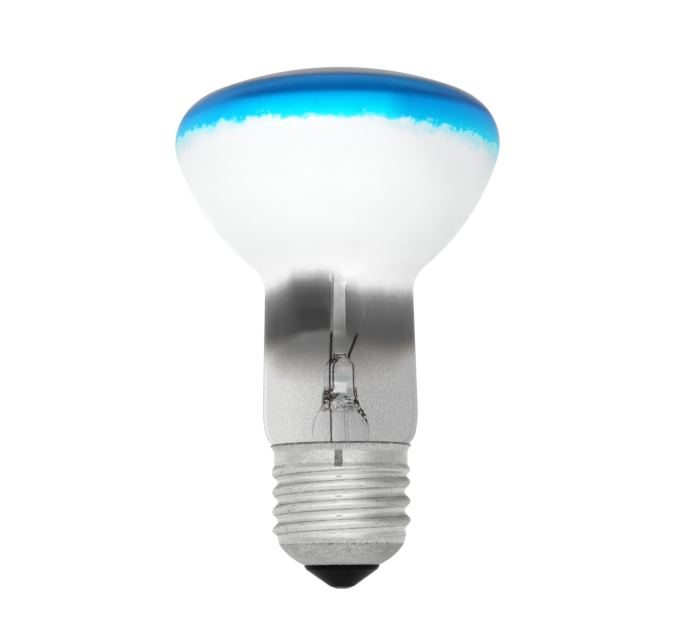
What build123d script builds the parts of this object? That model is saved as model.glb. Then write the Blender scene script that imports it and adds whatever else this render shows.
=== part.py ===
"""Reflector bulb with a 63 mm head and an E27 screw cap.

Frame: +Z along the bulb's axis from the cap to the dome, origin at the tip of
the centre contact, -Y towards the viewer. Millimetres.

Built as the real lamp is: a blown bulb sealed to a pressed glass stem, three-part
lead-in wires through the press, a ring filament on support wires, and a rolled
sheet screw shell with a black glass insulator, cemented onto the neck.
"""
import os
from math import atan2, copysign, cos, degrees, pi, radians, sin, sqrt, tan

from build123d import *

os.makedirs("parts", exist_ok=True)

# ----------------------------------------------------------------- dimensions
# blown bulb, outside profile as tangent arcs; PHI is the outward normal's angle
# above the horizontal where one arc hands over to the next
R_MAX = 31.5            # largest radius of the head (63 mm bulb)
Z_MAX = 85.5            # height of the largest radius
R_SHOULDER = 9.2        # rolled edge between reflector wall and dome
PHI_DOME = 66.5         # where the shoulder meets the dome
PHI_BODY = -18.3        # where the shoulder meets the reflector wall
R_BODY = 45.4           # reflector wall
PHI_THROAT = -50.5      # where the reflector wall meets the throat
R_THROAT = 6.85         # concave throat above the neck
TAPER = 1.35            # neck widens downwards by this angle
NECK_LENGTH = 21.8      # straight part of the neck
R_NECKIN = 24.0         # neck begins to draw in
PHI_NECKIN = -9.6
R_TUCK = 4.6            # neck tucks into the cap
PHI_TUCK = -58.0
R_SEAT = 3.0            # concave turn below the cap's rim
Z_SEAL = 16.0           # bulb meets the stem's flare
WALL = 0.7              # bulb wall

# glass stem
R_FLARE = 5.4           # flare tube
FLARE_WALL = 0.8
PRESS_W, PRESS_T = 7.2, 4.0         # press, wide and narrow way
PRESS_Z0, PRESS_Z1 = 35.4, 43.8     # press, foot and top
PRESS_TURN = 48.8                   # press's wide way, angle from +X
R_TUBE, R_TUBE_BORE = 1.85, 1.1     # exhaust tube
Z_BLOW, R_BLOW = 35.3, 0.55         # blow hole from the tube's bore out of the press's foot
Z_TIP_OFF = 8.4                     # melted end of the exhaust tube
R_ARBOR = 1.15                      # support rod above the press
Z_BUTTON = 60.2                     # middle of the button on the support rod
R_BUTTON = 1.9

# wires
R_INNER = 0.26          # nickel inner leads
R_SEALWIRE = 0.16       # copper-clad seal wires
R_OUTER = 0.16          # copper outer leads
R_SUPPORT = 0.125       # molybdenum supports
LEAD_OFFSET = 2.66      # leads either side of the axis, along the press
Z_SEAL0, Z_SEAL1 = 34.8, 42.6       # ends of the seal wires in the press

# filament
R_RING = 9.5            # ring filament's radius about the axis
Z_RING = 66.0
R_COIL = 0.42           # outside of the coiled coil
RING_START = 15.8       # azimuth of the centre lead's clamp
RING_END = 260.0        # azimuth of the side lead's clamp
LOOP_R = 0.64           # support's loop round the coil

# screw shell with E27 thread, rolled sheet
SHEET = 0.28
PITCH = 3.629           # seven threads to the inch
R_CREST, R_ROOT = 13.2, 12.13
Z_CREST_LEFT = 11.05    # a crest passes the -X side at this height
Z_SHELL_FOOT = 4.55     # edge round the insulator
R_SHELL_FOOT = 7.25
Z_CREASE, R_CREASE = 8.35, 11.8
Z_THREAD0, Z_THREAD1 = 9.4, 23.5
R_WAIST = 12.75         # plain waist above the thread
Z_ROLL, R_ROLL, ROLL = 25.5, 2.0, 51.0    # lip: foot, radius and turn of the roll

# insulator, contact, joint of the side lead
R_CONE_TOP, Z_CONE_TOP = 6.75, 3.7
R_CONE_TIP, Z_CONE_TIP = 2.25, 0.42
R_CONTACT = 2.0
R_EYELET, R_EYELET_BORE = 0.85, 0.4
WELD_W, WELD_Z0, WELD_Z1, WELD_T = 1.6, 22.65, 25.85, 0.12
WELD_AZ = 268.0         # azimuth of the side lead's weld on the shell


def normal(phi):
    return cos(radians(phi)), sin(radians(phi))


def at(az, r, z):
    """Point at azimuth az, radius r, height z."""
    return r * cos(radians(az)), r * sin(radians(az)), z


# ------------------------------------------------- bulb profile as tangent arcs
# each entry: centre, radius, outward-normal angles at start and end, convex or not
arcs = []
c_sh = (R_MAX - R_SHOULDER, Z_MAX)
r_dome = R_SHOULDER + c_sh[0] / cos(radians(PHI_DOME))
c_dome = (0.0, Z_MAX - c_sh[0] * tan(radians(PHI_DOME)))
Z_APEX = c_dome[1] + r_dome
arcs.append((c_dome, r_dome, 90.0, PHI_DOME, 1))
arcs.append((c_sh, R_SHOULDER, PHI_DOME, PHI_BODY, 1))


def on(arc, phi):
    c, r, _, _, s = arc
    n = normal(phi)
    return c[0] + s * r * n[0], c[1] + s * r * n[1]


def follow(p, r, phi0, phi1, s):
    """Arc that leaves point p with outward normal phi0 and ends at phi1."""
    n = normal(phi0)
    arcs.append(((p[0] - s * r * n[0], p[1] - s * r * n[1]), r, phi0, phi1, s))
    return on(arcs[-1], phi1)


p = on(arcs[-1], PHI_BODY)
p = follow(p, R_BODY, PHI_BODY, PHI_THROAT, 1)
p_neck_top = follow(p, R_THROAT, PHI_THROAT, TAPER, -1)
p_neck_low = (
    p_neck_top[0] + NECK_LENGTH * sin(radians(TAPER)),
    p_neck_top[1] - NECK_LENGTH * cos(radians(TAPER)),
)
p = follow(p_neck_low, R_NECKIN, TAPER, PHI_NECKIN, 1)
p = follow(p, R_TUCK, PHI_NECKIN, PHI_TUCK, 1)
p_seat = follow(p, R_SEAT, PHI_TUCK, 0.0, -1)
R_SEAL = p_seat[0]


def wall_edges(depth):
    """Edges of the bulb's wall, depth below the outside, from the dome to the seal."""
    n = normal(TAPER)
    for c, r, a0, a1, s in arcs:
        start = a0 if s > 0 else a0 + 180.0
        CenterArc(c, r - s * depth, start, a1 - a0)
    Line(
        (p_neck_top[0] - depth * n[0], p_neck_top[1] - depth * n[1]),
        (p_neck_low[0] - depth * n[0], p_neck_low[1] - depth * n[1]),
    )
    Line((R_SEAL - depth, p_seat[1]), (R_SEAL - depth, Z_SEAL))


# ------------------------------------------------------------------ glass bulb
with BuildPart() as glass_bulb:
    with BuildSketch(Plane.XZ):
        with BuildLine():
            wall_edges(0.0)
            wall_edges(WALL)
            Line((0, Z_APEX), (0, Z_APEX - WALL))
            Line((R_SEAL, Z_SEAL), (R_SEAL - WALL, Z_SEAL))
        make_face()
    revolve(axis=Axis.Z)
glass_bulb.part.label = "glass_bulb"

# --------------------------------------------------------- lead and support wires
lead_a = (-LEAD_OFFSET * cos(radians(PRESS_TURN)), -LEAD_OFFSET * sin(radians(PRESS_TURN)))
lead_b = (-lead_a[0], -lead_a[1])


def wire(points, radii, r):
    """Sweeps a round wire of radius r along straight runs with rounded corners."""
    with BuildLine() as path:
        if radii:
            FilletPolyline(*points, radius=radii)
        else:
            Line(*points)
    start = Vector(*points[0])
    direction = (Vector(*points[1]) - start).normalized()
    with BuildSketch(Plane(origin=start, z_dir=direction)) as section:
        Circle(r)
    sweep(sections=section.sketch, path=path.wires()[0] if radii else path.line)


# inner leads: straight out of the press, spread to the ring, end in a crimped clamp
top_a = at(RING_END, R_RING, Z_RING)
top_b = at(RING_START, R_RING, Z_RING)
CLAMP_R, CLAMP_L = 0.55, 1.5


def clamp_plane(az, forward):
    """Plane at the ring's end, normal along the ring, away from the filament."""
    tangent = (-sin(radians(az)) * forward, cos(radians(az)) * forward, 0)
    return Plane(origin=at(az, R_RING, Z_RING), z_dir=tangent)


def inner_lead(foot, top, knee, az, forward):
    pl = clamp_plane(az, forward)
    mid = Vector(*top) + pl.z_dir * (CLAMP_L * 0.5)
    wire(
        [(*foot, Z_SEAL1), (*foot, PRESS_Z1 + 0.9), knee, (mid.X, mid.Y, mid.Z)],
        [1.2, 4.0],
        R_INNER,
    )
    with BuildSketch(pl) as crimp:
        RectangleRounded(2 * CLAMP_R, 2 * CLAMP_R, 0.22)
    extrude(crimp.sketch, amount=CLAMP_L)


with BuildPart() as inner_lead_side:
    inner_lead(lead_a, top_a, (-1.45, -4.1, 50.2), RING_END, 1)
inner_lead_side.part.label = "inner_lead_side"

with BuildPart() as inner_lead_centre:
    inner_lead(lead_b, top_b, (3.95, 2.2, 50.2), RING_START, -1)
inner_lead_centre.part.label = "inner_lead_centre"

# seal wires: straight through the press
with BuildPart() as seal_wire_side:
    with BuildSketch(Plane.XY.offset(Z_SEAL0)):
        with Locations(lead_a):
            Circle(R_SEALWIRE)
    extrude(amount=Z_SEAL1 - Z_SEAL0)
seal_wire_side.part.label = "seal_wire_side"

with BuildPart() as seal_wire_centre:
    with BuildSketch(Plane.XY.offset(Z_SEAL0)):
        with Locations(lead_b):
            Circle(R_SEALWIRE)
    extrude(amount=Z_SEAL1 - Z_SEAL0)
seal_wire_centre.part.label = "seal_wire_centre"

# outer lead to the centre contact: down inside the flare, through the eyelet
Z_LEAD_END = 0.62
with BuildPart() as outer_lead_centre:
    wire(
        [(*lead_b, Z_SEAL0), (*lead_b, 19.0), (3.3, 1.6, 12.0), (1.1, 0.5, 6.6), (0, 0, 4.2), (0, 0, Z_LEAD_END)],
        [6.0, 5.0, 3.0, 1.6],
        R_OUTER,
    )
outer_lead_centre.part.label = "outer_lead_centre"

# outer lead to the shell: down inside the flare, under the seal, up beside the neck
R_GAP = R_SEAL + 0.34
Z_EXIT = 24.7
with BuildPart() as outer_lead_side:
    wire(
        [
            (*lead_a, Z_SEAL0),
            (*lead_a, 18.2),
            at(258.0, 6.4, 12.6),
            at(WELD_AZ, R_GAP, 12.9),
            at(WELD_AZ, R_GAP, Z_EXIT),
            at(WELD_AZ, R_WAIST + 0.02, Z_EXIT),
        ],
        [5.0, 2.4, 1.3, 0.3],
        R_OUTER,
    )
outer_lead_side.part.label = "outer_lead_side"

# supports: out of the button, ending in an open loop round the coil
support_az = [RING_START + (RING_END - RING_START) * k / 4 for k in (1, 2, 3)]
supports = []
for number, az in enumerate(support_az, 1):
    r0, z0 = 0.75, Z_BUTTON
    dx, dz = R_RING - r0, Z_RING - z0
    dist = sqrt(dx * dx + dz * dz)
    lean = atan2(dz, dx)
    # tangent from the button to the underside of the loop
    off = lean - atan2(LOOP_R, sqrt(dist * dist - LOOP_R * LOOP_R))
    touch = off - pi / 2
    with BuildPart() as support:
        plane = Plane(
            origin=(0, 0, 0),
            x_dir=at(az, 1, 0),
            z_dir=(sin(radians(az)), -cos(radians(az)), 0),
        )
        with BuildLine(plane) as path:
            tip = (R_RING + LOOP_R * cos(touch), Z_RING + LOOP_R * sin(touch))
            Line((r0, z0), tip)
            CenterArc((R_RING, Z_RING), LOOP_R, degrees(touch), 318.0)
        start = plane.from_local_coords((r0, z0, 0))
        with BuildSketch(Plane(origin=start, z_dir=plane.from_local_coords((tip[0], tip[1], 0)) - start)):
            Circle(R_SUPPORT)
        sweep(path=path.wires()[0])
    support.part.label = f"support_wire_{number}"
    supports.append(support.part)

# filament: outside of the coiled coil, a ring open at the front right
with BuildPart() as filament:
    with BuildSketch(
        Plane(origin=(0, 0, 0), x_dir=at(RING_START, 1, 0), z_dir=(sin(radians(RING_START)), -cos(radians(RING_START)), 0))
    ):
        with Locations((R_RING, Z_RING)):
            Circle(R_COIL)
    revolve(axis=Axis.Z, revolution_arc=RING_END - RING_START)
filament.part.label = "filament"

# ------------------------------------------------------------------- glass stem
# flare: trumpet from the rolled lip under the seal up to the press
LIP = 1.1               # section radius of the melted lip
r_mid = R_SEAL - WALL / 2
with BuildPart() as glass_stem:
    with BuildSketch(Plane.XZ):
        with BuildLine():
            # outside of the melted lip, level with the bulb's end
            outer = [
                (R_SEAL - WALL, Z_SEAL),
                (R_SEAL, Z_SEAL),
                (R_SEAL, Z_SEAL - 0.5),
            ]
            Polyline(*outer)
            l1 = CenterArc((R_SEAL - LIP, Z_SEAL - 0.5), LIP, 0, -125)
            under = Spline(
                l1 @ 1, (7.0, 17.2), (5.1, 20.2), (R_FLARE - FLARE_WALL, 24.0),
                tangents=(l1 % 1, Vector(0, 1)),
            )
            Line((R_FLARE - FLARE_WALL, 24.0), (R_FLARE - FLARE_WALL, 30.4))
            Spline(
                (R_FLARE - FLARE_WALL, 30.4), (4.3, 31.7), (3.65, 33.0), (2.7, 34.7),
                tangents=(Vector(0, 1), Vector(-0.6, 1)),
            )
            Line((2.7, 34.7), (3.6, 35.0))
            Spline(
                (3.6, 35.0), (4.5, 33.4), (5.2, 31.9), (R_FLARE, 30.4),
                tangents=(Vector(0.55, -1), Vector(0, -1)),
            )
            Line((R_FLARE, 30.4), (R_FLARE, 24.2))
            Spline(
                (R_FLARE, 24.2), (5.9, 20.9), (7.5, 18.2), (R_SEAL - WALL, Z_SEAL),
                tangents=(Vector(0, -1), Vector(0.8, -0.4)),
            )
        make_face()
    revolve(axis=Axis.Z)
    # press: flattened block between the flare and the support rod
    press_plane = Plane(origin=(0, 0, PRESS_Z0), x_dir=at(PRESS_TURN, 1, 0), z_dir=(0, 0, 1))
    for up, wide, narrow, power in (
        (-1.2, 3.9, 3.88, 2.0),
        (0.3, 3.95, 3.1, 2.15),
        (1.8, PRESS_W / 2 + 0.05, PRESS_T / 2 + 0.3, 2.85),
        (3.4, PRESS_W / 2, PRESS_T / 2, 2.9),
        (5.2, PRESS_W / 2, PRESS_T / 2 - 0.02, 2.9),
        (6.6, PRESS_W / 2 - 0.25, PRESS_T / 2 - 0.1, 2.9),
        (7.7, PRESS_W / 2 - 0.75, PRESS_T / 2 - 0.3, 2.75),
        (PRESS_Z1 - PRESS_Z0, PRESS_W / 2 - 1.5, PRESS_T / 2 - 0.65, 2.2),
    ):
        # flattened oval, power 2 is an ellipse
        oval = []
        for k in range(32):
            c, q = cos(2 * pi * k / 32), sin(2 * pi * k / 32)
            oval.append((wide * copysign(abs(c) ** (2 / power), c), narrow * copysign(abs(q) ** (2 / power), q)))
        with BuildSketch(press_plane.offset(up)):
            with BuildLine():
                Spline(*oval, periodic=True)
            make_face()
    loft()
    # exhaust tube under the press, melted shut at its end
    with BuildSketch(Plane.XZ):
        with BuildLine():
            Polyline(
                (0, PRESS_Z0 + 0.5), (R_TUBE, PRESS_Z0 + 0.5), (R_TUBE, Z_TIP_OFF + 3.2)
            )
            Spline(
                (R_TUBE, Z_TIP_OFF + 3.2), (1.35, Z_TIP_OFF + 1.2), (0, Z_TIP_OFF),
                tangents=((0, -1), (-1, 0)),
            )
            Line((0, Z_TIP_OFF), (0, PRESS_Z0 + 0.5))
        make_face()
    revolve(axis=Axis.Z)
    # support rod with its button
    with BuildSketch(Plane.XZ):
        with BuildLine():
            Polyline(
                (0, PRESS_Z1 - 0.6), (R_ARBOR + 0.75, PRESS_Z1 - 0.6), (R_ARBOR + 0.75, PRESS_Z1 + 0.15)
            )
            Spline(
                (R_ARBOR + 0.75, PRESS_Z1 + 0.15), (R_ARBOR + 0.2, PRESS_Z1 + 0.75), (R_ARBOR, PRESS_Z1 + 1.7),
                tangents=((-0.2, 1), (0, 1)),
            )
            Line((R_ARBOR, PRESS_Z1 + 1.7), (R_ARBOR, Z_BUTTON - 2.4))
            Spline(
                (R_ARBOR, Z_BUTTON - 2.4), (R_BUTTON, Z_BUTTON), (0, Z_BUTTON + 1.35),
                tangents=((0, 1), (-1, 0)),
            )
            Line((0, Z_BUTTON + 1.35), (0, PRESS_Z1 - 0.6))
        make_face()
    revolve(axis=Axis.Z)
    # bore of the exhaust tube and the blow hole out of the press's foot
    with BuildSketch(Plane.XY.offset(Z_TIP_OFF + 2.6)):
        Circle(R_TUBE_BORE)
    extrude(amount=Z_BLOW + R_BLOW + 0.3 - Z_TIP_OFF - 2.6, mode=Mode.SUBTRACT)
    with BuildSketch(Plane(origin=(0, 0, Z_BLOW), z_dir=at(PRESS_TURN - 90, 1, 0))):
        Circle(R_BLOW)
    extrude(amount=PRESS_T + 1.0, mode=Mode.SUBTRACT)
    # wires pass through the glass
    add(
        [w.part for w in (seal_wire_side, seal_wire_centre, inner_lead_side, inner_lead_centre, outer_lead_side, outer_lead_centre)]
        + supports,
        mode=Mode.SUBTRACT,
    )
glass_stem.part.label = "glass_stem"

# ------------------------------------------------------------------ screw shell


def ease(x):
    x = min(max(x, 0.0), 1.0)
    return x * x * (3 - 2 * x)


def thread_section(z):
    """Radius and offset of the shell's circle at height z: an offset circle that
    turns with height is the rolled round thread. It fades in at the foot and ends
    in a plain ring under the waist."""
    ring = (R_CREST - R_ROOT) * ease((z - 21.0) / 1.25)
    leave = ease((z - 22.45) / 1.0)
    root = R_ROOT + ring * (1 - leave) + (R_WAIST - R_ROOT) * leave
    a = ease((z - 9.6) / 1.3) * (R_CREST - root) / 2 * (1 - ease((z - 22.0) / 0.6))
    turn = pi + 2 * pi * (z - Z_CREST_LEFT) / PITCH
    return root + a, a * cos(turn), a * sin(turn)


def waist_edges(depth):
    """Edges of the waist and its rolled lip, depth outside the sheet's face; gives the lip's arc."""
    Line((R_WAIST + depth, Z_THREAD1), (R_WAIST + depth, Z_ROLL))
    return CenterArc((R_WAIST + R_ROLL, Z_ROLL), R_ROLL - depth, 180, -ROLL)


N_SECTIONS = 64
levels = [Z_THREAD0 + (Z_THREAD1 - Z_THREAD0) * i / (N_SECTIONS - 1) for i in range(N_SECTIONS)]


def thread_body(inset):
    sections = []
    for z in levels:
        r, ex, ey = thread_section(z)
        with BuildSketch(Plane.XY.offset(z)) as ring:
            with Locations((ex, ey)):
                Circle(r - inset)
        sections.append(ring.sketch)
    loft(sections)


with BuildPart() as thread_bore:
    thread_body(SHEET)

with BuildPart() as screw_shell:
    thread_body(0.0)
    add(thread_bore.part, mode=Mode.SUBTRACT)
    # rounded foot, crimped round the insulator
    with BuildSketch(Plane.XZ):
        with BuildLine():
            foot_out = ThreePointArc((R_CREASE, Z_CREASE), (10.25, 6.55), (R_SHELL_FOOT, Z_SHELL_FOOT))
            Line((R_ROOT, Z_THREAD0), (R_CREASE, Z_CREASE))
            Line((R_ROOT - SHEET, Z_THREAD0), (R_ROOT, Z_THREAD0))
            Line((R_ROOT - SHEET, Z_THREAD0), (R_CREASE - SHEET, Z_CREASE + 0.06))
            ThreePointArc(
                (R_CREASE - SHEET, Z_CREASE + 0.06), (10.05, 6.78), (R_SHELL_FOOT - 0.05, Z_SHELL_FOOT + SHEET)
            )
            Line((R_SHELL_FOOT - 0.05, Z_SHELL_FOOT + SHEET), (R_SHELL_FOOT, Z_SHELL_FOOT))
        make_face()
    revolve(axis=Axis.Z)
    # plain waist rolled out to the lip
    with BuildSketch(Plane.XZ):
        with BuildLine():
            Line((R_WAIST - SHEET, Z_THREAD1), (R_WAIST, Z_THREAD1))
            lip_in = waist_edges(-SHEET)
            lip_out = waist_edges(0.0)
            Line(lip_out @ 1, lip_in @ 1)
        make_face()
    revolve(axis=Axis.Z)
    add(outer_lead_side.part, mode=Mode.SUBTRACT)
screw_shell.part.label = "screw_shell"

# ------------------------------------------------------------------ side weld
with BuildPart() as side_weld:
    weld_plane = Plane(
        origin=at(WELD_AZ, R_WAIST - 1.0, (WELD_Z0 + WELD_Z1) / 2),
        x_dir=(-sin(radians(WELD_AZ)), cos(radians(WELD_AZ)), 0),
        z_dir=at(WELD_AZ, 1, 0),
    )
    with BuildSketch(weld_plane):
        RectangleRounded(WELD_W, WELD_Z1 - WELD_Z0, 0.25)
    extrude(amount=2.2)
    # skin that follows the waist's flare, thickness WELD_T over the sheet
    with BuildSketch(Plane.XZ):
        with BuildLine():
            skin = [(thread_section(z)[0], z) for z in (22.65, 22.85, 23.05, 23.25, Z_THREAD1)]
            ends = []
            for depth in (-0.1, WELD_T):
                Spline(*[(r + depth, z) for r, z in skin])
                ends.append(waist_edges(depth))
            Line((skin[0][0] - 0.1, skin[0][1]), (skin[0][0] + WELD_T, skin[0][1]))
            Line(ends[0] @ 1, ends[1] @ 1)
        make_face()
    revolve(axis=Axis.Z, mode=Mode.INTERSECT)
    add(screw_shell.part, mode=Mode.SUBTRACT)
    add(outer_lead_side.part, mode=Mode.SUBTRACT)
side_weld.part.label = "side_weld"

# --------------------------------------------------------------- basing cement
with BuildPart() as basing_cement:
    with BuildSketch(Plane.XZ):
        with BuildLine():
            lip_in = waist_edges(-SHEET)
            Polyline(lip_in @ 1, (R_SEAL - 0.3, (lip_in @ 1).Y), (R_SEAL - 0.3, Z_THREAD1), (R_WAIST - SHEET, Z_THREAD1))
        make_face()
    revolve(axis=Axis.Z)
    with BuildSketch(Plane.XY.offset(Z_ROLL + 1.2)):
        Circle(R_WAIST + 3)
    extrude(amount=2.0, mode=Mode.SUBTRACT)
    # room of the glass neck
    with BuildSketch(Plane.XZ):
        with BuildLine():
            wall_edges(0.0)
            Polyline((R_SEAL, Z_SEAL), (0, Z_SEAL), (0, Z_APEX))
        make_face()
    revolve(axis=Axis.Z, mode=Mode.SUBTRACT)
    add(outer_lead_side.part, mode=Mode.SUBTRACT)
basing_cement.part.label = "basing_cement"

# --------------------------------------------------- insulator, contact, solder
with BuildPart() as cap_insulator:
    with BuildSketch(Plane.XZ):
        with BuildLine():
            Polyline(
                (R_EYELET, Z_CONE_TIP), (R_CONE_TIP, Z_CONE_TIP), (R_CONE_TOP, Z_CONE_TOP),
                (R_SHELL_FOOT - 0.12, Z_CONE_TOP + 0.42), (R_SHELL_FOOT - 0.05, Z_SHELL_FOOT + SHEET),
            )
            ThreePointArc(
                (R_SHELL_FOOT - 0.05, Z_SHELL_FOOT + SHEET), (10.05, 6.78), (R_CREASE - SHEET, Z_CREASE + 0.06)
            )
            Polyline((R_CREASE - SHEET, Z_CREASE + 0.06), (10.6, Z_CREASE + 0.06))
            Spline(
                (10.6, Z_CREASE + 0.06), (7.0, 6.3), (R_EYELET, 4.4),
                tangents=((-0.6, -1), (-1, -0.25)),
            )
            Line((R_EYELET, 4.4), (R_EYELET, Z_CONE_TIP))
        make_face()
    revolve(axis=Axis.Z)
    rim = cap_insulator.edges().filter_by(GeomType.CIRCLE).filter_by(
        lambda e: abs(e.center().Z - Z_CONE_TOP) < 0.01
    )
    fillet(rim, 0.5)
cap_insulator.part.label = "cap_insulator"

# eyelet plate under the cone's tip, its tube up through the insulator
with BuildPart() as centre_contact:
    with BuildSketch(Plane.XZ):
        with BuildLine():
            Polyline(
                (R_EYELET_BORE, 0.2), (R_CONTACT - 0.3, 0.2), (R_CONTACT, Z_CONE_TIP), (R_EYELET, Z_CONE_TIP),
                (R_EYELET, 4.4), (R_EYELET_BORE, 4.4), (R_EYELET_BORE, 0.2),
            )
        make_face()
    revolve(axis=Axis.Z)
centre_contact.part.label = "centre_contact"

# solder closing the eyelet over the lead's end
with BuildPart() as contact_solder:
    with BuildSketch(Plane.XZ):
        with BuildLine():
            Polyline((0, Z_LEAD_END), (0, 0), (0.75, 0))
            ThreePointArc((0.75, 0), (1.12, 0.06), (1.4, 0.2))
            Polyline((1.4, 0.2), (R_EYELET_BORE, 0.2), (R_EYELET_BORE, Z_LEAD_END), (0, Z_LEAD_END))
        make_face()
    revolve(axis=Axis.Z)
contact_solder.part.label = "contact_solder"

# ---------------------------------------------------------------------- export
pieces = [
    glass_bulb.part, glass_stem.part,
    inner_lead_side.part, inner_lead_centre.part,
    seal_wire_side.part, seal_wire_centre.part,
    outer_lead_side.part, outer_lead_centre.part,
    *supports, filament.part,
    screw_shell.part, side_weld.part, basing_cement.part,
    cap_insulator.part, centre_contact.part, contact_solder.part,
]
for piece in pieces:
    export_step(piece, f"parts/{piece.label}.step")
print("apex", round(Z_APEX, 3), "neck top r", round(p_neck_top[0], 3), "z", round(p_neck_top[1], 3),
      "neck low r", round(p_neck_low[0], 3), "z", round(p_neck_low[1], 3), "seal r", round(R_SEAL, 3), "seat z", round(p_seat[1], 3))
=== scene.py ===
from math import atan2, ceil, cos, degrees, exp, hypot, pi, radians, sin, sqrt, tan

import bpy
from mathutils import Matrix, Vector


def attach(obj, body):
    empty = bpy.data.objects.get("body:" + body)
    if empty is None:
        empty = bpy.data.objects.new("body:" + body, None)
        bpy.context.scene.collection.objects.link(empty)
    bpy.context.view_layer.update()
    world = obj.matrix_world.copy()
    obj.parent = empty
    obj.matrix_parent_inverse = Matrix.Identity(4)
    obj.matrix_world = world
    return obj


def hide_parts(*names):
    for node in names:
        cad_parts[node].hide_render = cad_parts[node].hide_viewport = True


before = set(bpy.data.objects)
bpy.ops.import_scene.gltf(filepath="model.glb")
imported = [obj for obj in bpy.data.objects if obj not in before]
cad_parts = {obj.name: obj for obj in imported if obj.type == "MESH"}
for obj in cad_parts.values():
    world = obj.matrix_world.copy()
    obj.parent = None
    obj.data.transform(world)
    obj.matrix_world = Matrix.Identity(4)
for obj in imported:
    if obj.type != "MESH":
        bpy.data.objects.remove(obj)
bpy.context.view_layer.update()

MM = 0.001


# =========================================================================== meshes
def add_piece(name, verts, faces, stands_for=(), sharp=35.0):
    """A mesh piece from points in millimetres, shaded smooth except at sharp edges."""
    me = bpy.data.meshes.new(name)
    me.from_pydata([(x * MM, y * MM, z * MM) for x, y, z in verts], [], faces)
    me.validate()
    me.polygons.foreach_set("use_smooth", [True] * len(me.polygons))
    me.set_sharp_from_angle(angle=radians(sharp))
    me.update()
    ob = bpy.data.objects.new(name, me)
    bpy.context.scene.collection.objects.link(ob)
    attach(ob, "root")
    if stands_for:
        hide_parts(*stands_for)
    return ob


def turned(path, n, radius=None, loop=False):
    """Points and faces of a turned surface. path runs so that the outside lies on its right
    hand when r points right and z up. A point with r = 0 becomes a pole. radius(k, theta, r)
    may vary the radius round the turn. loop joins the path's end to its start."""
    verts, rings, faces = [], [], []
    for k, (r, z) in enumerate(path):
        if r < 1e-9:
            rings.append([len(verts)] * n)
            verts.append((0.0, 0.0, z))
            continue
        ring = []
        for i in range(n):
            th = 2 * pi * i / n
            rr = radius(k, th, r) if radius else r
            ring.append(len(verts))
            verts.append((rr * cos(th), rr * sin(th), z))
        rings.append(ring)
    pairs = list(zip(rings, rings[1:])) + ([(rings[-1], rings[0])] if loop else [])
    for a, b in pairs:
        for i in range(n):
            j = (i + 1) % n
            face = []
            for v in (a[i], b[i], b[j], a[j]):
                if v not in face:
                    face.append(v)
            if len(face) > 2:
                faces.append(tuple(face))
    return verts, faces


def arc_points(c, r, a0, a1, step):
    """Points on a circle from angle a0 to a1 (degrees), both ends in."""
    n = max(2, int(ceil(abs(radians(a1 - a0)) * r / step)))
    return [
        (c[0] + r * cos(radians(a0 + (a1 - a0) * i / n)), c[1] + r * sin(radians(a0 + (a1 - a0) * i / n)))
        for i in range(n + 1)
    ]


def line_points(p, q, step):
    n = max(1, int(ceil(hypot(q[0] - p[0], q[1] - p[1]) / step)))
    return [(p[0] + (q[0] - p[0]) * i / n, p[1] + (q[1] - p[1]) * i / n) for i in range(n + 1)]


def three_point_arc(p, m, q, step):
    ax, ay, bx, by, cx, cy = *p, *m, *q
    d = 2 * (ax * (by - cy) + bx * (cy - ay) + cx * (ay - by))
    ux = ((ax * ax + ay * ay) * (by - cy) + (bx * bx + by * by) * (cy - ay) + (cx * cx + cy * cy) * (ay - by)) / d
    uy = ((ax * ax + ay * ay) * (cx - bx) + (bx * bx + by * by) * (ax - cx) + (cx * cx + cy * cy) * (bx - ax)) / d
    r = hypot(ax - ux, ay - uy)
    a0, am, a1 = (degrees(atan2(y - uy, x - ux)) for x, y in (p, m, q))
    while am - a0 > 180:
        am -= 360
    while am - a0 < -180:
        am += 360
    while a1 - am > 180:
        a1 -= 360
    while a1 - am < -180:
        a1 += 360
    return arc_points((ux, uy), r, a0, a1, step)


def smooth_through(points, per):
    """A smooth line through points (Catmull-Rom, centripetal enough for these spacings)."""
    pts = [points[0]] + list(points) + [points[-1]]
    out = []
    for i in range(1, len(pts) - 2):
        p0, p1, p2, p3 = (Vector(pts[i + k]) for k in (-1, 0, 1, 2))
        l1, l2, l3 = ((b - a).length for a, b in ((p0, p1), (p1, p2), (p2, p3)))
        m1 = (p2 - p1) if l1 < 1e-9 else ((p2 - p1) / l2 * l1 + (p1 - p0) / l1 * l2) / (l1 + l2) * l2
        m2 = (p2 - p1) if l3 < 1e-9 else ((p3 - p2) / l3 * l2 + (p2 - p1) / l2 * l3) / (l2 + l3) * l2
        for j in range(per):
            t = j / per
            h = (2 * t**3 - 3 * t**2 + 1, t**3 - 2 * t**2 + t, -2 * t**3 + 3 * t**2, t**3 - t**2)
            out.append(tuple(p1 * h[0] + m1 * h[1] + p2 * h[2] + m2 * h[3]))
    out.append(tuple(points[-1]))
    return out


def without_repeats(path):
    out = []
    for p in path:
        if not out or max(abs(a - b) for a, b in zip(p, out[-1])) > 1e-6:
            out.append(p)
    return out


# ------------------------------------------------------------------ bulb: blown wall
R_MAX, Z_MAX, R_SHOULDER, PHI_DOME, PHI_BODY = 31.5, 85.5, 9.2, 66.5, -18.3
R_BODY, PHI_THROAT, R_THROAT, TAPER, NECK_LENGTH = 45.4, -50.5, 6.85, 1.35, 21.8
R_NECKIN, PHI_NECKIN, R_TUCK, PHI_TUCK, R_SEAT, Z_SEAL, WALL = 24.0, -9.6, 4.6, -58.0, 3.0, 16.0, 0.7

c_sh = (R_MAX - R_SHOULDER, Z_MAX)
arcs = [
    ((0.0, Z_MAX - c_sh[0] * tan(radians(PHI_DOME))), R_SHOULDER + c_sh[0] / cos(radians(PHI_DOME)), 90.0, PHI_DOME, 1),
    (c_sh, R_SHOULDER, PHI_DOME, PHI_BODY, 1),
]


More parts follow.
